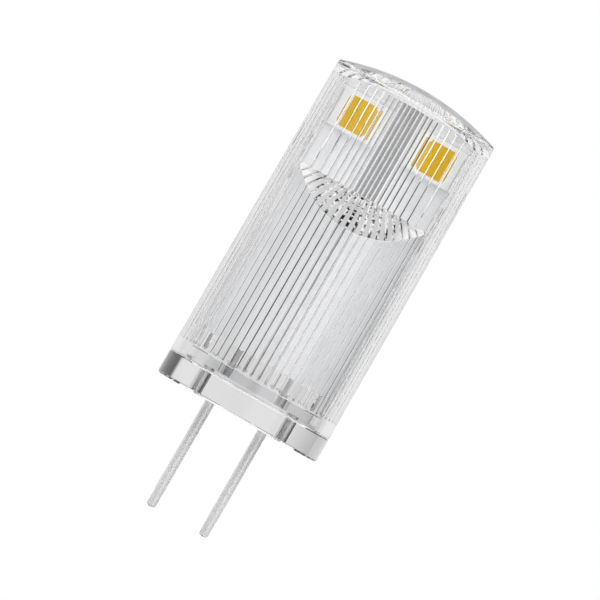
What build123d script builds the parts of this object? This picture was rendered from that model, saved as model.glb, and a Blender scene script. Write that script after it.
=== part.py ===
from build123d import *
import os
from math import copysign, cos, radians, sin, sqrt, tan

os.makedirs("parts", exist_ok=True)

# Contact pins: spacing and thickness are those of the low-voltage two-pin lamp base
pin_spacing = 4.0
pin_diameter = 0.7
pin_reach = 8.0
pin_tip_radius = 0.25
shank_diameter = 0.6
shank_end_margin = 0.43
press_clearance = 0.01

# Base plug: flange, spigot ring and the boss round the pins
body_diameter = 12.1
flange_height = 1.7
spigot_inset = 0.05
spigot_wall = 0.6
spigot_height = 1.0
hollow_floor = 0.3
boss_wall = 0.34
seam_chamfer = 0.06
rim_chamfer = 0.12

# Cover: drafted outside, shallow dome, ridged bore with two flat walls before the LEDs
overall_height = 25.0
side_draft = 0.25
dome_radius = 18.0
dome_bevel = 0.15
top_wall = 1.1
side_wall = 1.05
socket_clearance = 0.4
socket_end_gap = 0.05
ridge_count = 60
ridge_height = 0.08
ridge_sink = 0.05
ridge_end_depth = 0.02
ridge_ramp = 0.15
ridge_foot_gap = 0.05
ridge_head_gap = 0.05
flat_half_angle = 60.7
flat_below_led = 2.99
runout_rise = 2.4

# Circuit board, held up by the soldered pin tails behind it
board_thickness = 0.8
solder_film = 0.05
board_lift = 1.27
board_clearance = 0.15
board_top_gap = 0.3
board_corner_radius = 0.5

# LED package: moulded cup on two flat terminals, filled with phosphor
led_length = 2.8
led_height = 2.8
led_housing_thickness = 0.6
led_window_length = 2.11
led_window_height = 2.26
led_window_radius = 0.35
led_cup_depth = 0.42
led_cup_taper = 12
led_spacing = 4.4
led_drop = 1.71
terminal_thickness = 0.1
terminal_height = 2.2
terminal_tab = 0.2
anode_length = 0.8
terminal_gap = 0.5

# Solder joint on each pin tail
solder_width = 1.5
solder_crown_width = 0.84
solder_crown = 0.1
solder_length = 2.6
solder_margin = 0.5

# Driver parts on the rear of the board: length along X, width along Z, height off the board
lead_thickness = 0.2
body_chamfer = 0.15
driver_edge_margin = 0.4
driver_row_drop = 1.6
rectifier_size = (4.4, 3.4, 1.2)
rectifier_gap = 1.4
rectifier_lead = (0.9, 0.6)
rectifier_lead_spacing = 2.2
regulator_size = (2.9, 1.4, 1.0)
regulator_lead = (0.45, 0.6)
regulator_lead_spacing = 0.95
capacitor_size = (3.2, 1.6, 1.3)
capacitor_end = 0.5
resistor_size = (2.0, 1.25, 0.5)
resistor_drop = 2.3
resistor_end = 0.35

# Radii and levels that follow from the sizes above
pin_radius = pin_diameter / 2
shank_radius = shank_diameter / 2
body_radius = body_diameter / 2
bore_radius = body_radius - side_wall
spigot_radius = bore_radius - spigot_inset
spigot_top = flange_height + spigot_height
socket_radius = spigot_radius + socket_clearance
socket_top = spigot_top + socket_end_gap

# Outside of the dome, and the inside one that runs at the same centre
dome_centre = overall_height - dome_radius
inner_dome_radius = dome_radius - top_wall
draft_slope = tan(radians(side_draft))
draft_radius = body_radius - draft_slope * (dome_centre - flange_height)
dome_edge_root = sqrt(dome_radius**2 * (1 + draft_slope**2) - draft_radius**2)
dome_edge_rise = (draft_radius * draft_slope + dome_edge_root) / (1 + draft_slope**2)
bevel_rise = dome_edge_rise - dome_bevel
bevel_x = draft_radius - draft_slope * bevel_rise
bevel_z = dome_centre + bevel_rise

# Ridges: each is a square bar on its corner, sunk in the wall
ridge_step = 360 / ridge_count
ridge_axis = bore_radius + ridge_sink
ridge_foot = socket_top + ridge_foot_gap
ridge_head = dome_centre + sqrt(inner_dome_radius**2 - bore_radius**2) - ridge_head_gap

# Board between the ridges, in front of the pin shanks
clear_radius = bore_radius - ridge_height - board_clearance
board_rear = shank_radius + solder_film
board_front = board_rear + board_thickness
board_half_width = sqrt(clear_radius**2 - board_front**2)
board_bottom = spigot_top + board_lift
board_top = dome_centre + sqrt(inner_dome_radius**2 - clear_radius**2) - board_top_gap
solder_bottom = board_bottom + solder_margin
shank_top = solder_bottom + solder_length + shank_end_margin

# LEDs at the top corners, and the flats of the cover that start below them
led_x = led_spacing / 2
led_z = board_top - led_drop
led_bottom = led_z - led_height / 2
flat_distance = bore_radius * cos(radians(flat_half_angle))
flat_beyond = bore_radius + 1
runout_end = led_bottom - flat_below_led
runout_start = runout_end - runout_rise
runout_slope = runout_rise / (bore_radius - flat_distance)
runout_beyond = runout_end - runout_slope * (flat_beyond - flat_distance)

# Driver: the rectifier above the pin shanks, the other parts in rows below the LEDs
rectifier_place = (0, shank_top + rectifier_gap + rectifier_size[1] / 2)
driver_row = led_bottom - driver_row_drop
regulator_x = driver_edge_margin + regulator_size[0] / 2 - board_half_width
regulator_place = (regulator_x, driver_row)
capacitor_place = (board_half_width - driver_edge_margin - capacitor_size[0] / 2, driver_row)
resistor_place = (regulator_x, driver_row - resistor_drop)


# The front of the lamp faces -Y, so a front plane looks that way and a rear plane looks along +Y
def front_plane(x, z):
    return Plane(origin=(x, -board_front, z), x_dir=(1, 0, 0), z_dir=(0, -1, 0))


def rear_plane(x, z):
    return Plane(origin=(x, -board_rear, z), x_dir=(-1, 0, 0), z_dir=(0, 1, 0))


# One ridge of the bore: up the round wall, over the run-out where there is one, and up the flat
def ridge(angle):
    side = sin(radians(angle))
    depth = cos(radians(angle))
    foot = (ridge_axis * side, ridge_axis * depth, 45 - angle)
    head = foot
    stations = [(ridge_foot, foot, -ridge_end_depth), (ridge_foot + ridge_ramp, foot, ridge_height)]
    if bore_radius * abs(depth) > flat_distance:
        flat_y = copysign(flat_distance + ridge_sink, depth)
        head = (flat_y * side / depth, flat_y, 45 if depth > 0 else -135)
        climb = runout_slope * bore_radius * (1 - abs(depth))
        stations += [(runout_start + climb, foot, ridge_height), (runout_end, head, ridge_height)]
    stations += [(ridge_head - ridge_ramp, head, ridge_height), (ridge_head, head, -ridge_end_depth)]
    with BuildPart() as bar:
        for level, (x, y, turn), rise in stations:
            with BuildSketch(Plane.XY.offset(level)):
                with Locations((x, y)):
                    Rectangle(sqrt(2) * (rise + ridge_sink), sqrt(2) * (rise + ridge_sink), rotation=turn)
        loft(ruled=True)
    return bar.part


ridges = [ridge(number * ridge_step - 180) for number in range(ridge_count)]

# Hollow of the cover: round bore under a domed top, with the two flats and their slanted run-outs
with BuildPart() as hollow:
    with BuildSketch(Plane.XY.offset(socket_top)):
        Circle(bore_radius)
    extrude(amount=overall_height - socket_top)
    with Locations((0, 0, dome_centre)):
        Sphere(inner_dome_radius, rotation=(90, 0, 0), mode=Mode.INTERSECT)
    with BuildSketch(Plane.YZ):
        with BuildLine():
            Polyline(
                (flat_distance, runout_end),
                (flat_distance, overall_height),
                (flat_beyond, overall_height),
                (flat_beyond, runout_beyond),
                close=True,
            )
        make_face()
        mirror(about=Plane.XZ)
    extrude(amount=flat_beyond, both=True, mode=Mode.SUBTRACT)
    add(ridges, mode=Mode.SUBTRACT)

# Clear cover, moulded in one piece with its ridges
with BuildPart() as cover:
    with BuildSketch(Plane.XZ):
        with BuildLine():
            Polyline(
                (0, flange_height),
                (body_radius - seam_chamfer, flange_height),
                (body_radius, flange_height + seam_chamfer),
                (bevel_x, bevel_z),
                (bevel_x - 1, bevel_z + 1),
                (0, overall_height + 1),
                close=True,
            )
        make_face()
    revolve(axis=Axis.Z)
    with Locations((0, 0, dome_centre)):
        Sphere(dome_radius, rotation=(90, 0, 0), mode=Mode.INTERSECT)
    with BuildSketch(Plane.XY.offset(flange_height)):
        Circle(socket_radius)
    extrude(amount=socket_top - flange_height, mode=Mode.SUBTRACT)
    add(hollow.part, mode=Mode.SUBTRACT)
cover.part.label = "cover"
export_step(cover.part, "parts/cover.step")

# Clear base plug: the flange closes the cover, the boss grips the pins
with BuildPart() as base_plug:
    with BuildSketch():
        Circle(body_radius)
    extrude(amount=flange_height)
    chamfer(base_plug.edges().group_by(Axis.Z)[-1], seam_chamfer)
    chamfer(base_plug.edges().group_by(Axis.Z)[0], rim_chamfer)
    with BuildSketch(Plane.XY.offset(flange_height)):
        Circle(spigot_radius)
    extrude(amount=spigot_height)
    with BuildSketch(Plane.XY.offset(flange_height + hollow_floor)):
        Circle(spigot_radius - spigot_wall)
        SlotCenterToCenter(pin_spacing, shank_diameter + 2 * boss_wall, mode=Mode.SUBTRACT)
    extrude(amount=spigot_height - hollow_floor, mode=Mode.SUBTRACT)
    with BuildSketch():
        with GridLocations(pin_spacing, 0, 2, 1):
            Circle(shank_radius + press_clearance)
    extrude(amount=spigot_top, mode=Mode.SUBTRACT)
base_plug.part.label = "base_plug"
export_step(base_plug.part, "parts/base_plug.step")

# Contact pins, whose shoulder stops at the flange, and the solder that ties each shank to the board
for name, pin_x in (("left", -pin_spacing / 2), ("right", pin_spacing / 2)):
    with BuildPart() as pin:
        with BuildSketch(Plane.XY.offset(-pin_reach)):
            with Locations((pin_x, 0)):
                Circle(pin_radius)
        extrude(amount=pin_reach)
        fillet(pin.edges().group_by(Axis.Z)[0], pin_tip_radius)
        with BuildSketch():
            with Locations((pin_x, 0)):
                Circle(shank_radius)
        extrude(amount=shank_top)
    pin.part.label = f"pin_{name}"
    export_step(pin.part, f"parts/pin_{name}.step")

    with BuildPart() as solder:
        with BuildSketch(Plane.XY.offset(solder_bottom)):
            with BuildLine():
                Polyline(
                    (pin_x - solder_width / 2, -board_rear),
                    (pin_x + solder_width / 2, -board_rear),
                    (pin_x + solder_crown_width / 2, solder_crown),
                    (pin_x - solder_crown_width / 2, solder_crown),
                    close=True,
                )
            make_face()
            with Locations((pin_x, 0)):
                Circle(shank_radius + press_clearance, mode=Mode.SUBTRACT)
        extrude(amount=solder_length)
    solder.part.label = f"solder_joint_{name}"
    export_step(solder.part, f"parts/solder_joint_{name}.step")

# White circuit board
with BuildPart() as circuit_board:
    with BuildSketch(front_plane(0, (board_bottom + board_top) / 2)):
        RectangleRounded(2 * board_half_width, board_top - board_bottom, board_corner_radius)
    extrude(amount=-board_thickness)
circuit_board.part.label = "circuit_board"
export_step(circuit_board.part, "parts/circuit_board.step")

# LED packages, two on each face of the board
led_planes = {
    "front_left": front_plane(-led_x, led_z),
    "front_right": front_plane(led_x, led_z),
    "rear_left": rear_plane(-led_x, led_z),
    "rear_right": rear_plane(led_x, led_z),
}
for place, face in led_planes.items():
    rim = face.offset(terminal_thickness + led_housing_thickness)

    with BuildPart() as phosphor:
        with BuildSketch(rim):
            RectangleRounded(led_window_length, led_window_height, led_window_radius)
        extrude(amount=-led_cup_depth, taper=led_cup_taper)
    phosphor.part.label = f"led_{place}_phosphor"
    export_step(phosphor.part, f"parts/led_{place}_phosphor.step")

    with BuildPart() as housing:
        with BuildSketch(face.offset(terminal_thickness)):
            Rectangle(led_length, led_height)
        extrude(amount=led_housing_thickness)
        add(phosphor.part, mode=Mode.SUBTRACT)
    housing.part.label = f"led_{place}_housing"
    export_step(housing.part, f"parts/led_{place}_housing.step")

    terminal_reach = led_length / 2 + terminal_tab
    cathode_length = 2 * terminal_reach - anode_length - terminal_gap
    for pole, length, centre in (
        ("anode", anode_length, anode_length / 2 - terminal_reach),
        ("cathode", cathode_length, terminal_reach - cathode_length / 2),
    ):
        with BuildPart() as terminal:
            with BuildSketch(face):
                with Locations((centre, 0)):
                    Rectangle(length, terminal_height)
            extrude(amount=terminal_thickness)
        terminal.part.label = f"led_{place}_{pole}"
        export_step(terminal.part, f"parts/led_{place}_{pole}.step")


# A moulded driver body on flat leads: the body stands on the leads, which lie on the board
def moulded_body(face, size):
    length, width, height = size
    with BuildPart() as body:
        with BuildSketch(face.offset(lead_thickness)):
            Rectangle(length, width)
        extrude(amount=height)
        top = body.faces().sort_by(Axis.Y)[-1]
        chamfer(top.edges(), body_chamfer)
    return body


def export_piece(piece, name):
    piece.part.label = name
    export_step(piece.part, f"parts/{name}.step")


# Bridge rectifier with two flat leads on each side
rectifier_face = rear_plane(*rectifier_place)
export_piece(moulded_body(rectifier_face, rectifier_size), "rectifier_body")
with BuildPart() as rectifier_leads:
    with BuildSketch(rectifier_face):
        with GridLocations(rectifier_size[0], rectifier_lead_spacing, 2, 2):
            Rectangle(*rectifier_lead)
    extrude(amount=lead_thickness)
export_piece(rectifier_leads, "rectifier_leads")

# Current regulator: two leads below and one above
regulator_face = rear_plane(*regulator_place)
export_piece(moulded_body(regulator_face, regulator_size), "regulator_body")
with BuildPart() as regulator_leads:
    with BuildSketch(regulator_face):
        lead_y = regulator_size[1] / 2
        with Locations((-regulator_lead_spacing, -lead_y), (regulator_lead_spacing, -lead_y), (0, lead_y)):
            Rectangle(*regulator_lead)
    extrude(amount=lead_thickness)
export_piece(regulator_leads, "regulator_leads")

# Smoothing capacitor and sense resistor: a body between two metal ends
for name, place, size, end in (
    ("capacitor", capacitor_place, capacitor_size, capacitor_end),
    ("resistor", resistor_place, resistor_size, resistor_end),
):
    chip_face = rear_plane(*place)
    with BuildPart() as chip:
        with BuildSketch(chip_face):
            Rectangle(size[0] - 2 * end, size[1])
        extrude(amount=size[2])
    export_piece(chip, f"{name}_body")
    with BuildPart() as ends:
        with BuildSketch(chip_face):
            with GridLocations(size[0] - end, 0, 2, 1):
                Rectangle(end, size[1])
        extrude(amount=size[2])
    export_piece(ends, f"{name}_ends")
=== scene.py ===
from math import atan2, cos, pi, radians, sin, sqrt, tan

import bmesh
import bpy
from mathutils import Matrix, Vector


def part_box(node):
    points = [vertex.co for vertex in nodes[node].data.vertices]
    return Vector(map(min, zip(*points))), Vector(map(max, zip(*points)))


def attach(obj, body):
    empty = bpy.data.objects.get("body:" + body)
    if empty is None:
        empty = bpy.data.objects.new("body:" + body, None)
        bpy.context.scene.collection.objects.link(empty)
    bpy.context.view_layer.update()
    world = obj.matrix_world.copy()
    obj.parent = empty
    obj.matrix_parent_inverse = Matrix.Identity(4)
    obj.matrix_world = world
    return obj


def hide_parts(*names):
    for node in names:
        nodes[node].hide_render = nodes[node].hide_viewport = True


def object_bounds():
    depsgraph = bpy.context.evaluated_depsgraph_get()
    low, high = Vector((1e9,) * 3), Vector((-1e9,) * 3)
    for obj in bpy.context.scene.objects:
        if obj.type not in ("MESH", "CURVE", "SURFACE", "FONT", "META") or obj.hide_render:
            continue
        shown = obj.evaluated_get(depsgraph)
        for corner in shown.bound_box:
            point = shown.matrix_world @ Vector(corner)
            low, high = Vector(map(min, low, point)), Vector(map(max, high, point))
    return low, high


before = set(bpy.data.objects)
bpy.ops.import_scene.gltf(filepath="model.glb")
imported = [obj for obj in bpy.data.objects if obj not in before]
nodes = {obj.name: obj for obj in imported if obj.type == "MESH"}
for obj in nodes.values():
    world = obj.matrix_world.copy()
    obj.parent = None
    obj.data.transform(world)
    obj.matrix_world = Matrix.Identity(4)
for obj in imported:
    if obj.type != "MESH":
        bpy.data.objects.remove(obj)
cad_low, cad_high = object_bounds()

# Base plug
# A clear moulded disc that closes the cover: a flange as wide as the cover, a spigot ring that centres
# it in the cover's socket, and a long boss that grips the two pins. It is welded on at the seam.
mm = 0.001
_, plug_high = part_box("base_plug")
cover_low, cover_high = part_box("cover")
body_radius = plug_high.x
flange_top = cover_low.z
spigot_top = plug_high.z
spigot_radius = 4.95 * mm
spigot_wall = 0.6 * mm
spigot_edge = 0.05 * mm
hollow_floor = flange_top + 0.3 * mm
rim_chamfer = 0.12 * mm
seam_chamfer = 0.06 * mm
pin_x = 2.0 * mm
shank_hole = 0.31 * mm
boss_radius = 0.64 * mm
boss_low = hollow_floor - 0.1 * mm
hole_overrun = 1.0 * mm
plug_steps = 256
boss_steps = 48
hole_steps = 64
plastic_crease = 20
clear_tint = (0.987, 0.988, 0.992, 1)
clear_ior = 1.7
flow_scale = 160.0
haze_scale = 2600.0
haze_roughness = 0.012


class Wire:
    """An output of a node. Used in an expression it adds Math nodes; node() adds any other node."""

    def __init__(self, tree, made=None, output=0):
        self.tree = tree
        self.socket = made.outputs[output] if made and made.outputs else None
        self.made = made

    def node(self, kind, settings, sockets, output=0):
        made = self.tree.nodes.new("ShaderNode" + kind)
        for name, value in settings.items():
            setattr(made, name, value)
        for name, value in sockets.items():
            if isinstance(value, Wire):
                self.tree.links.new(value.socket, made.inputs[name])
            else:
                made.inputs[name].default_value = value
        return Wire(self.tree, made, output)

    def output(self, name):
        return Wire(self.tree, self.made, name)

    def math(self, operation, *values):
        return self.node("Math", {"operation": operation}, dict(enumerate(values)))

    def blend(self, first, second):
        """A colour between two, with this output as the share of the second."""
        return self.node("Mix", {"data_type": "RGBA"}, {0: self, 6: first, 7: second}, 2)

    def bump(self, strength, distance):
        sockets = {"Height": self, "Strength": strength, "Distance": distance}
        return self.node("Bump", {}, sockets)

    def __add__(self, other):
        return self.math("ADD", self, other)

    def __sub__(self, other):
        return self.math("SUBTRACT", self, other)

    def __rsub__(self, other):
        return self.math("SUBTRACT", other, self)

    def __mul__(self, other):
        return self.math("MULTIPLY", self, other)

    def __gt__(self, other):
        return self.math("GREATER_THAN", self, other)

    __radd__ = __add__
    __rmul__ = __mul__


def new_material(name):
    material = bpy.data.materials.new(name)
    material.use_nodes = True
    material.node_tree.nodes.clear()
    return material, Wire(material.node_tree)


def surface(material, sockets):
    start = Wire(material.node_tree)
    shader = start.node("BsdfPrincipled", {}, sockets)
    start.node("OutputMaterial", {}, {"Surface": shader})
    return material


def noise_at(start, scale, detail=2.0):
    place = start.node("TexCoord", {}, {}, "Object")
    return start.node("TexNoise", {}, {"Vector": place, "Scale": scale, "Detail": detail})


def clear_plastic(name):
    material, start = new_material(name)
    flow = noise_at(start, scale=flow_scale)
    haze = noise_at(start, scale=haze_scale)
    finish = {
        "Base Color": clear_tint,
        "Roughness": haze * haze_roughness,
        "IOR": clear_ior,
        "Transmission Weight": 1.0,
        "Normal": flow.bump(strength=0.02, distance=0.02 * mm),
    }
    return surface(material, finish)


def smooth(mesh, crease):
    mesh.shade_smooth()
    mesh.set_sharp_from_angle(angle=radians(crease))


def skin(name, rings, material, crease=plastic_crease):
    """A closed skin through rings of points. A ring of one point is a pole."""
    faces = []
    start = 0
    for lower, upper in zip(rings, rings[1:]):
        after = start + len(lower)
        count = max(len(lower), len(upper))
        for i in range(count):
            j = (i + 1) % count
            if len(lower) == 1:
                faces.append((start, after + j, after + i))
            elif len(upper) == 1:
                faces.append((start + i, start + j, after))
            else:
                faces.append((start + i, start + j, after + j, after + i))
        start = after
    mesh = bpy.data.meshes.new(name)
    mesh.from_pydata([point for ring in rings for point in ring], [], faces)
    shell = bmesh.new()
    shell.from_mesh(mesh)
    bmesh.ops.recalc_face_normals(shell, faces=shell.faces)
    shell.to_mesh(mesh)
    shell.free()
    smooth(mesh, crease)
    mesh.materials.append(material)
    piece = bpy.data.objects.new(name, mesh)
    bpy.context.scene.collection.objects.link(piece)
    return piece


def turned(profile, steps, x=0.0):
    """Rings of a turned form from (radius, height) pairs."""
    turns = [2 * pi * i / steps for i in range(steps)]
    rings = []
    for radius, height in profile:
        if radius == 0:
            rings.append([(x, 0, height)])
        else:
            rings.append([(x + radius * sin(a), -radius * cos(a), height) for a in turns])
    return rings


def stadium(half_length, radius, height, steps):
    half_turn = [pi * i / steps for i in range(steps + 1)]
    right = [(half_length + radius * sin(a), -radius * cos(a), height) for a in half_turn]
    left = [(-half_length - radius * sin(a), radius * cos(a), height) for a in half_turn]
    return right + left


def carve(piece, tools):
    """Joins and cuts with other meshes, each given with its operation, and leaves one plain mesh."""
    for tool, operation in tools:
        step = piece.modifiers.new(operation, "BOOLEAN")
        step.object = tool
        step.operation = operation
        step.solver = "EXACT"
    graph = bpy.context.evaluated_depsgraph_get()
    mesh = bpy.data.meshes.new_from_object(piece.evaluated_get(graph))
    piece.modifiers.clear()
    piece.data = mesh
    for tool, _ in tools:
        bpy.data.objects.remove(tool)


plug_plastic = clear_plastic("clear_plug_plastic")
plug_profile = [
    (0, 0),
    (body_radius - rim_chamfer, 0),
    (body_radius, rim_chamfer),
    (body_radius, flange_top - seam_chamfer),
    (body_radius - seam_chamfer, flange_top),
    (spigot_radius, flange_top),
    (spigot_radius, spigot_top - spigot_edge),
    (spigot_radius - spigot_edge, spigot_top),
    (spigot_radius - spigot_wall, spigot_top),
    (spigot_radius - spigot_wall, hollow_floor),
    (0, hollow_floor),
]
base_plug = skin("base_plug_moulding", turned(plug_profile, plug_steps), plug_plastic)
boss_rings = [
    [(0, 0, boss_low)],
    stadium(pin_x, boss_radius, boss_low, boss_steps),
    stadium(pin_x, boss_radius, spigot_top, boss_steps),
    [(0, 0, spigot_top)],
]
boss = skin("boss", boss_rings, plug_plastic)
hole_profile = [
    (0, -hole_overrun),
    (shank_hole, -hole_overrun),
    (shank_hole, spigot_top + hole_overrun),
    (0, spigot_top + hole_overrun),
]
hole_cuts = [
    skin("hole", turned(hole_profile, hole_steps, x), plug_plastic) for x in (-pin_x, pin_x)
]
carve(base_plug, [(boss, "UNION")] + [(cut, "DIFFERENCE") for cut in hole_cuts])
smooth(base_plug.data, plastic_crease)
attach(base_plug, "root")
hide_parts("base_plug")

# Contact pins
# Two drawn wire pins of nickel-plated alloy. Each has a rounded tip to enter the lamp holder, and a
# thinner shank that is pressed through the boss and soldered to the back of the board.
pin_tip_radius = 0.25 * mm
pin_steps = 64
shank_radius = shank_hole - 0.01 * mm
draw_scale = (9000.0, 9000.0, 90.0)
dull_share = 0.94


def drawn_metal(name, colour, roughness):
    material, start = new_material(name)
    place = start.node("TexCoord", {}, {}, "Object")
    along = start.node("Mapping", {}, {"Vector": place, "Scale": draw_scale})
    lines = start.node("TexNoise", {}, {"Vector": along, "Scale": 1.0, "Detail": 3.0})
    dull = tuple(channel * dull_share for channel in colour[:3]) + (1,)
    finish = {
        "Base Color": lines.blend(dull, colour),
        "Metallic": lines * 0.04 + 0.85,
        "Roughness": lines * 0.08 + roughness,
        "Normal": lines.bump(strength=0.02, distance=0.01 * mm),
    }
    return surface(material, finish)


pin_metal = drawn_metal("nickel_plated_pin", (0.93, 0.93, 0.94, 1), roughness=0.3)
for side in ("left", "right"):
    node = f"pin_{side}"
    low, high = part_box(node)
    middle = (low.x + high.x) / 2
    pin_radius = high.y
    bend = [radians(angle) for angle in range(0, 91, 15)]
    tip_inner = pin_radius - pin_tip_radius
    tip_centre = low.z + pin_tip_radius
    tip = [
        (tip_inner + pin_tip_radius * sin(a), tip_centre - pin_tip_radius * cos(a)) for a in bend
    ]
    shoulder = [(pin_radius, 0), (shank_radius, 0), (shank_radius, high.z), (0, high.z)]
    pin_profile = [(0, low.z), *tip, *shoulder]
    pin = skin(node + "_turned", turned(pin_profile, pin_steps, middle), pin_metal)
    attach(pin, "root")
    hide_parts(node)

# Circuit board
# A glass-fibre board with a white reflecting mask on both faces. It stands upright in the cover on the
# soldered shanks, and its cut edges are slightly eased.
board_white = (0.86, 0.862, 0.875, 1)
board_shade = (0.81, 0.812, 0.825, 1)
board_edge = 0.04 * mm
eased_from = radians(40)


def keep_node(name, material, edge):
    """Gives a CAD node its finish, and eases its sharp edges."""
    piece = nodes[name]
    piece.data.materials.clear()
    piece.data.materials.append(material)
    ease = piece.modifiers.new("eased_edges", "BEVEL")
    ease.width = edge
    ease.segments = 2
    ease.limit_method = "ANGLE"
    ease.angle_limit = eased_from


def board_mask(name):
    material, start = new_material(name)
    mottle = noise_at(start, scale=420.0, detail=4.0)
    grain = noise_at(start, scale=5200.0)
    finish = {
        "Base Color": mottle.blend(board_shade, board_white),
        "Roughness": mottle * 0.12 + 0.34,
        "Normal": grain.bump(strength=0.1, distance=0.01 * mm),
    }
    return surface(material, finish)


keep_node("circuit_board", board_mask("white_board_mask"), board_edge)

# Solder joints
# A fillet of tin solder on each shank, behind the board. It carries the current, and holds the board
# upright on the two shanks.
solder_edge = 0.08 * mm
solder = drawn_metal("tin_solder", (0.74, 0.75, 0.77, 1), roughness=0.28)
for side in ("left", "right"):
    keep_node(f"solder_joint_{side}", solder, solder_edge)

# LED packages
# Four moulded packages, two on each face of the board: a white cup on two flat terminals, filled with
# silicone that holds the yellow phosphor. The fill has set with a slightly hollow face.
meniscus = 0.05 * mm
window_radius = 0.35 * mm
window_half_length = 0.83 * mm
cup_taper = tan(radians(12))
cup_corner = 0.12 * mm
cup_edge = 0.03 * mm
cup_white = (0.93, 0.93, 0.93, 1)
cup_shade = (0.88, 0.88, 0.875, 1)
fill_shares = (0.3, 0.6, 0.8, 0.92, 1.0)
led_crease = 40
terminal_edge = 0.015 * mm
phosphor_pale = (0.79, 0.49, 0.002, 1)
phosphor_deep = (0.68, 0.385, 0.001, 1)


def white_cup(name):
    material, start = new_material(name)
    mottle = noise_at(start, scale=900.0, detail=3.0)
    finish = {
        "Base Color": mottle.blend(cup_shade, cup_white),
        "Roughness": mottle * 0.1 + 0.32,
        "Normal": mottle.bump(strength=0.06, distance=0.01 * mm),
    }
    return surface(material, finish)


def phosphor_fill(name):
    material, start = new_material(name)
    place = start.node("TexCoord", {}, {}, "Object")
    grains = start.node("TexVoronoi", {}, {"Vector": place, "Scale": 16000.0}, "Color")
    grain = start.node("SeparateColor", {}, {"Color": grains}, "Red")
    cloud = noise_at(start, scale=1300.0, detail=3.0)
    fleck = grain * 0.5 + cloud * 0.5
    finish = {
        "Base Color": fleck.blend(phosphor_deep, phosphor_pale),
        "Roughness": cloud * 0.15 + 0.5,
        "Specular IOR Level": 0.1,
        "Normal": grain.bump(strength=0.08, distance=0.01 * mm),
    }
    return surface(material, finish)


def rounded_window(half_x, half_z, radius, corner_steps=8):
    """Points round a rounded rectangle, counter-clockwise from the lower right corner."""
    outline = []
    for turn, (sx, sz) in enumerate(((1, -1), (1, 1), (-1, 1), (-1, -1))):
        corner_x = sx * (half_x - radius)
        corner_z = sz * (half_z - radius)
        for step in range(corner_steps + 1):
            angle = radians(-90 + 90 * turn + 90 * step / corner_steps)
            outline.append((corner_x + radius * cos(angle), corner_z + radius * sin(angle)))
    return outline


def layered(name, middle_x, middle_z, layers, ends, material):
    """A closed form through outlines, each at its own depth, with its middle points at both ends."""
    rings = [[(middle_x + x, y, middle_z + z) for x, z in outline] for outline, y in layers]
    first, last = [[(middle_x, y, middle_z)] for y in ends]
    return skin(name, [first, *rings, last], material, led_crease)


cup_plastic = white_cup("white_led_cup")
phosphor = phosphor_fill("yellow_phosphor")
terminal_metal = drawn_metal("silver_terminal", (0.83, 0.82, 0.80, 1), roughness=0.3)
for face in ("front", "rear"):
    for side in ("left", "right"):
        led = f"led_{face}_{side}"
        low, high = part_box(led + "_phosphor")
        cup_low, cup_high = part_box(led + "_housing")
        rim, back, inward = low.y, cup_high.y, 1
        if face == "rear":
            rim, back, inward = high.y, cup_low.y, -1
        depth = high.y - low.y
        cup_floor = rim + inward * depth
        hollow = rim + inward * meniscus
        centre_x = (low.x + high.x) / 2
        centre_z = (low.z + high.z) / 2
        half_z = (high.z - low.z) / 2
        shrink = depth * cup_taper
        window = rounded_window(window_half_length, half_z, window_radius)
        floor_outline = rounded_window(
            window_half_length - shrink, half_z - shrink, window_radius - shrink
        )
        cup_half_x = (cup_high.x - cup_low.x) / 2
        cup_half_z = (cup_high.z - cup_low.z) / 2
        side_outline = rounded_window(cup_half_x, cup_half_z, cup_corner)
        face_outline = rounded_window(
            cup_half_x - cup_edge, cup_half_z - cup_edge, cup_corner - cup_edge
        )
        cup_layers = [
            (side_outline, back),
            (side_outline, rim + inward * cup_edge),
            (face_outline, rim),
            (window, rim),
            (floor_outline, cup_floor),
        ]
        cup_ends = (back, cup_floor)
        cup = layered(led + "_cup", centre_x, centre_z, cup_layers, cup_ends, cup_plastic)
        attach(cup, "root")
        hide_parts(led + "_housing")
        fill_layers = []
        for share in fill_shares:
            shell = [(x * share, z * share) for x, z in window]
            fill_layers.append((shell, rim + inward * meniscus * (1 - share**2)))
        fill_layers.append((floor_outline, cup_floor))
        fill_ends = (hollow, cup_floor)
        fill = layered(led + "_fill", centre_x, centre_z, fill_layers, fill_ends, phosphor)
        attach(fill, "root")
        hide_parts(led + "_phosphor")
        for pole in ("anode", "cathode"):
            keep_node(f"{led}_{pole}", terminal_metal, terminal_edge)

# Driver parts
# The rectifier and the regulator are black moulded packages on tinned leads, and the capacitor and the
# resistor are fired chips with metal ends. They sit on the back of the board, below the LEDs.
mould_edge = 0.04 * mm
lead_edge = 0.03 * mm
ceramic_edge = 0.05 * mm
glaze_edge = 0.03 * mm
chip_end_edge = 0.05 * mm
mould_pale = (0.048, 0.048, 0.050, 1)
mould_deep = (0.020, 0.020, 0.022, 1)
ceramic_pale = (0.52, 0.38, 0.24, 1)
ceramic_deep = (0.42, 0.29, 0.17, 1)
glaze_pale = (0.05, 0.05, 0.06, 1)
glaze_deep = (0.025, 0.025, 0.03, 1)


def moulded_black(name):
    material, start = new_material(name)
    grain = noise_at(start, scale=3600.0, detail=3.0)
    finish = {
        "Base Color": grain.blend(mould_deep, mould_pale),
        "Roughness": grain * 0.2 + 0.42,
        "Normal": grain.bump(strength=0.25, distance=0.02 * mm),
    }
    return surface(material, finish)


def fired_chip(name, pale, deep, roughness):
    material, start = new_material(name)
    cloud = noise_at(start, scale=1500.0, detail=4.0)
    finish = {
        "Base Color": cloud.blend(deep, pale),
        "Roughness": cloud * 0.15 + roughness,
        "Normal": cloud.bump(strength=0.1, distance=0.01 * mm),
    }
    return surface(material, finish)


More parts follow.
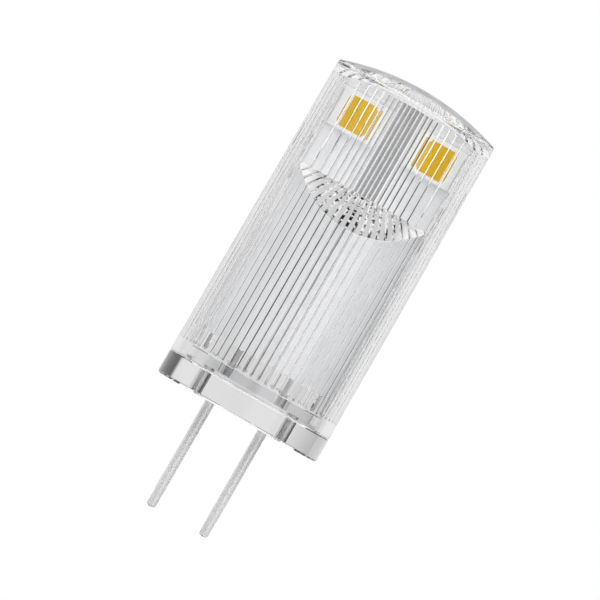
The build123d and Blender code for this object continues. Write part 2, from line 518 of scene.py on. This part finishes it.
black_mould = moulded_black("black_mould")
tinned_lead = drawn_metal("tinned_lead", (0.76, 0.76, 0.77, 1), roughness=0.3)
for driver in ("rectifier", "regulator"):
    keep_node(driver + "_body", black_mould, mould_edge)
    keep_node(driver + "_leads", tinned_lead, lead_edge)
ceramic = fired_chip("capacitor_ceramic", ceramic_pale, ceramic_deep, roughness=0.4)
glaze = fired_chip("resistor_glaze", glaze_pale, glaze_deep, roughness=0.25)
keep_node("capacitor_body", ceramic, ceramic_edge)
keep_node("resistor_body", glaze, glaze_edge)
for chip in ("capacitor", "resistor"):
    keep_node(chip + "_ends", tinned_lead, chip_end_edge)

# Cover
# The clear moulded cover, open at the foot. Its bore carries 60 fine ridges that spread the light.
# Front and rear, above a slanted run-out, the wall thickens to a flat before the LEDs, and the ridges
# go on up the flat to the roof.
bore_radius = 5.0 * mm
flat_angle = radians(60.7)
flat_distance = bore_radius * cos(flat_angle)
flat_pitch = 0.965 * flat_distance
ridge_count = 60
ridge_half_width = 0.09 * mm
ridge_rise = 0.072 * mm
ridge_profile = ((-ridge_half_width, 0.0), (0.0, ridge_rise), (ridge_half_width, 0.0))
land_shares = (0.25, 0.5, 0.75)
socket_radius = 5.35 * mm
socket_top = spigot_top + 0.05 * mm
ridge_foot = socket_top + 0.05 * mm
ridge_ramp = 0.15 * mm
ridge_head_gap = 0.05 * mm
runout_start = 14.4 * mm
runout_end = 16.8 * mm
runout_lip = 0.02 * mm
cover_foot = flange_top + 0.01 * mm
dome_radius = 18.0 * mm
top_wall = 1.1 * mm
dome_edge_radius = 0.2 * mm
dome_edge_drop = 1.2 * mm
side_draft = tan(radians(0.25))
dome_centre = cover_high.z - dome_radius
inner_dome = dome_radius - top_wall
roof_shares = (0.15, 0.3, 0.45, 0.6, 0.75, 0.9, 1.0)
edge_steps = 6
dome_steps = 12


def bore_point(angle, rise=0.0):
    return ((bore_radius - rise) * sin(angle), (rise - bore_radius) * cos(angle))


def flat_point(x, rise=0.0):
    return (x, rise - flat_distance)


def leave_height(angle):
    """Height at which the run-out leaves the bore."""
    climb = bore_radius * (1 - cos(angle)) / (bore_radius - flat_distance)
    return min(runout_start + (runout_end - runout_start) * climb, runout_end - runout_lip)


# A column is the line up the inner wall at one place: where it stands on the bore and, above the
# run-out, on the flat, each without and with the ridge's own rise
def wall_columns():
    step = 2 * pi / ridge_count
    columns = []
    for number in range(1 - ridge_count // 4, ridge_count // 4 + 1):
        angle = number * step
        following = angle + step
        on_flat = abs(angle) < flat_angle
        for side, rise in ridge_profile:
            turn = angle + side / bore_radius
            low_wall, low_crest = bore_point(turn), bore_point(turn, rise)
            high_wall, high_crest = low_wall, low_crest
            if on_flat:
                x = flat_pitch * tan(angle) + side
                high_wall, high_crest = flat_point(x), flat_point(x, rise)
            columns.append((low_wall, low_crest, high_wall, high_crest, leave_height(turn)))
        first = angle + ridge_half_width / bore_radius
        last = following - ridge_half_width / bore_radius
        for share in land_shares:
            turn = first + (last - first) * share
            low = bore_point(turn)
            high = low
            if on_flat and abs(following) < flat_angle:
                near = flat_pitch * tan(angle) + ridge_half_width
                far = flat_pitch * tan(following) - ridge_half_width
                high = flat_point(near + (far - near) * share)
            elif on_flat and share == land_shares[0]:
                high = bore_point(flat_angle)
            elif abs(following) < flat_angle and share == land_shares[-1]:
                high = bore_point(-flat_angle)
            columns.append((low, low, high, high, leave_height(turn)))
    return columns


front_columns = wall_columns()
rear_columns = [
    (*((-x, -y) for x, y in column[:4]), column[4]) for column in front_columns
]
columns = front_columns + rear_columns


def inner_ring(which, height):
    return [(*column[which], height) for column in columns]


def roof_height(place):
    return dome_centre + sqrt(inner_dome**2 - place[0] ** 2 - place[1] ** 2)


def roof_ring(share):
    places = [(column[2][0] * share, column[2][1] * share) for column in columns]
    return [(*place, roof_height(place)) for place in places]


def head_ring(which, drop):
    return [(*column[which], roof_height(column[2]) - drop) for column in columns]


def outer_ring(radius, height):
    turns = [atan2(column[0][0], -column[0][1]) for column in columns]
    return [(radius * sin(turn), -radius * cos(turn), height) for turn in turns]


edge_height = cover_high.z - dome_edge_drop
edge_x = body_radius - side_draft * (edge_height - flange_top) - dome_edge_radius
edge_z = dome_centre + sqrt((dome_radius - dome_edge_radius) ** 2 - edge_x**2)
dome_start = atan2(edge_z - dome_centre, edge_x)
cover_rings = [
    [(0, 0, dome_centre + inner_dome)],
    *(roof_ring(share) for share in roof_shares),
    head_ring(2, ridge_head_gap),
    head_ring(3, ridge_head_gap + ridge_ramp),
    inner_ring(3, runout_end),
    [(*column[1], column[4]) for column in columns],
    inner_ring(1, ridge_foot + ridge_ramp),
    inner_ring(0, ridge_foot),
    inner_ring(0, socket_top),
    outer_ring(socket_radius, socket_top),
    outer_ring(socket_radius, cover_foot),
    outer_ring(body_radius - seam_chamfer, cover_foot),
    outer_ring(body_radius, cover_foot + seam_chamfer),
]
for number in range(edge_steps + 1):
    bend = dome_start * number / edge_steps
    edge_reach = edge_x + dome_edge_radius * cos(bend)
    cover_rings.append(outer_ring(edge_reach, edge_z + dome_edge_radius * sin(bend)))
for number in range(1, dome_steps):
    lift = dome_start + (pi / 2 - dome_start) * number / dome_steps
    dome_height = dome_centre + dome_radius * sin(lift)
    cover_rings.append(outer_ring(dome_radius * cos(lift), dome_height))
cover_rings.append([(0, 0, cover_high.z)])
cover = skin("cover_moulding", cover_rings, clear_plastic("clear_cover_plastic"))
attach(cover, "root")
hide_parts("cover")

# Floor and light
# A plain pale table top under the pin tips, in a soft studio. The camera sees it white. The plastic and
# the metal mirror it darker at the front left and at the right, and the light on matt surfaces comes
# most from the front, because the ridged cover keeps much of it out.
floor_half = 0.12
floor_level = cad_low.z
floor_pale = (0.56, 0.56, 0.56, 1)
floor_deep = (0.52, 0.52, 0.52, 1)
floor_speck = 40.0
seen_glow = 0.5
through_glow = 0.2
white = (1, 1, 1, 1)
studio_tone = 0.62
bright_side, bright_edge, bright_lift = (0.42, 0.907, 0), (0.1, 0.7), 0.2
dark_side, dark_edge, dark_tone = (-0.574, -0.819, 0), (0.66, 0.82), 0.06
shade_side, shade_edge = (0.996, -0.087, 0), (0.74, 0.80)
ceiling_foot, ceiling_head, ceiling_tone = (0.4, 0.46), (0.8, 0.92), 1.0
band_foot, band_head, band_tone = (0.1, 0.16), (0.37, 0.42), 0.42
behind_edge = (0.1, 0.3)
front_side, front_edge, front_light = (0.35, -0.93, -0.1), (0.1, 0.8), 1.9
light_level = 1.4
bounced = 0.5

floor_mesh = bpy.data.meshes.new("floor")
corner_signs = ((-1, -1), (1, -1), (1, 1), (-1, 1))
floor_corners = [(x * floor_half, y * floor_half, floor_level) for x, y in corner_signs]
floor_mesh.from_pydata(floor_corners, [], [(0, 1, 2, 3)])
floor = bpy.data.objects.new("floor", floor_mesh)
bpy.context.scene.collection.objects.link(floor)
floor_paint, start = new_material("pale_floor")
path = start.node("LightPath", {}, {})
seen = path.output("Is Camera Ray")
through = path.output("Is Transmission Ray")
lit = path.output("Diffuse Depth") > bounced
glow_level = seen * seen_glow + through * (1.0 - lit) * through_glow
floor_colour = noise_at(start, scale=floor_speck).blend(floor_deep, floor_pale)
matt = start.node("BsdfDiffuse", {}, {"Color": floor_colour})
glow = start.node("Emission", {}, {"Color": white, "Strength": glow_level})
start.node("OutputMaterial", {}, {"Surface": start.node("AddShader", {}, {0: matt, 1: glow})})
floor_mesh.materials.append(floor_paint)

world = bpy.data.worlds.new("studio")
world.use_nodes = True
world.node_tree.nodes.clear()
bpy.context.scene.world = world
sky = Wire(world.node_tree)
way = sky.node("TexCoord", {}, {}, "Generated")
split_way = sky.node("SeparateXYZ", {}, {"Vector": way})
upward = split_way.output("Z")


def toward(side):
    return sky.node("VectorMath", {"operation": "DOT_PRODUCT"}, {0: way, 1: side}, 1)


def soft_step(value, edge):
    low, high = edge
    return sky.node(
        "MapRange",
        {"interpolation_type": "SMOOTHSTEP"},
        {"Value": value, "From Min": low, "From Max": high},
    )


left_dark = soft_step(toward(dark_side), dark_edge)
right_dark = soft_step(toward(shade_side), shade_edge)
dark = sky.math("MAXIMUM", left_dark, right_dark)
ceiling = soft_step(upward, ceiling_foot) - soft_step(upward, ceiling_head)
behind = soft_step(split_way.output("Y"), behind_edge)
band = behind * (soft_step(upward, band_foot) - soft_step(upward, band_head))
level_tone = soft_step(toward(bright_side), bright_edge) * bright_lift + studio_tone
tone = level_tone + ceiling * (ceiling_tone - level_tone)
tone = tone + band * (band_tone - level_tone) + dark * (dark_tone - level_tone)
path = sky.node("LightPath", {}, {})
seen = path.output("Is Camera Ray")
lit = path.output("Diffuse Depth") > bounced
light = soft_step(toward(front_side), front_edge) * front_light + light_level
unseen = tone + lit * (light - tone)
level = seen + (1.0 - seen) * unseen
backdrop = sky.node("Background", {}, {"Color": white, "Strength": level})
sky.node("OutputWorld", {}, {"Surface": backdrop})

# Camera
# Square on to the front, and rolled so that the lamp leans as in the picture. It stands well back, which
# keeps the sides of the cover straight. Clear walls one behind the other need many bounces.
camera_distance = 1.5
camera_x = -0.22 * mm
camera_z = 8.82 * mm
picture_width = 39.81 * mm
sensor_width = 36.0
lean = radians(29.957)
camera_data = bpy.data.cameras.new("camera")
camera_data.sensor_width = sensor_width
camera_data.lens = sensor_width * camera_distance / picture_width
camera = bpy.data.objects.new("camera", camera_data)
bpy.context.scene.collection.objects.link(camera)
camera_right = Vector((cos(lean), 0, sin(lean)))
camera_up = Vector((-sin(lean), 0, cos(lean)))
camera_back = camera_right.cross(camera_up)
camera_turn = Matrix((camera_right, camera_up, camera_back)).transposed().to_4x4()
camera_place = Matrix.Translation((camera_x, -camera_distance, camera_z))
camera.matrix_world = camera_place @ camera_turn
scene = bpy.context.scene
scene.camera = camera
scene.view_settings.view_transform = "Standard"
scene.cycles.max_bounces = 32
scene.cycles.transmission_bounces = 32
scene.cycles.transparent_max_bounces = 16
scene.cycles.glossy_bounces = 16
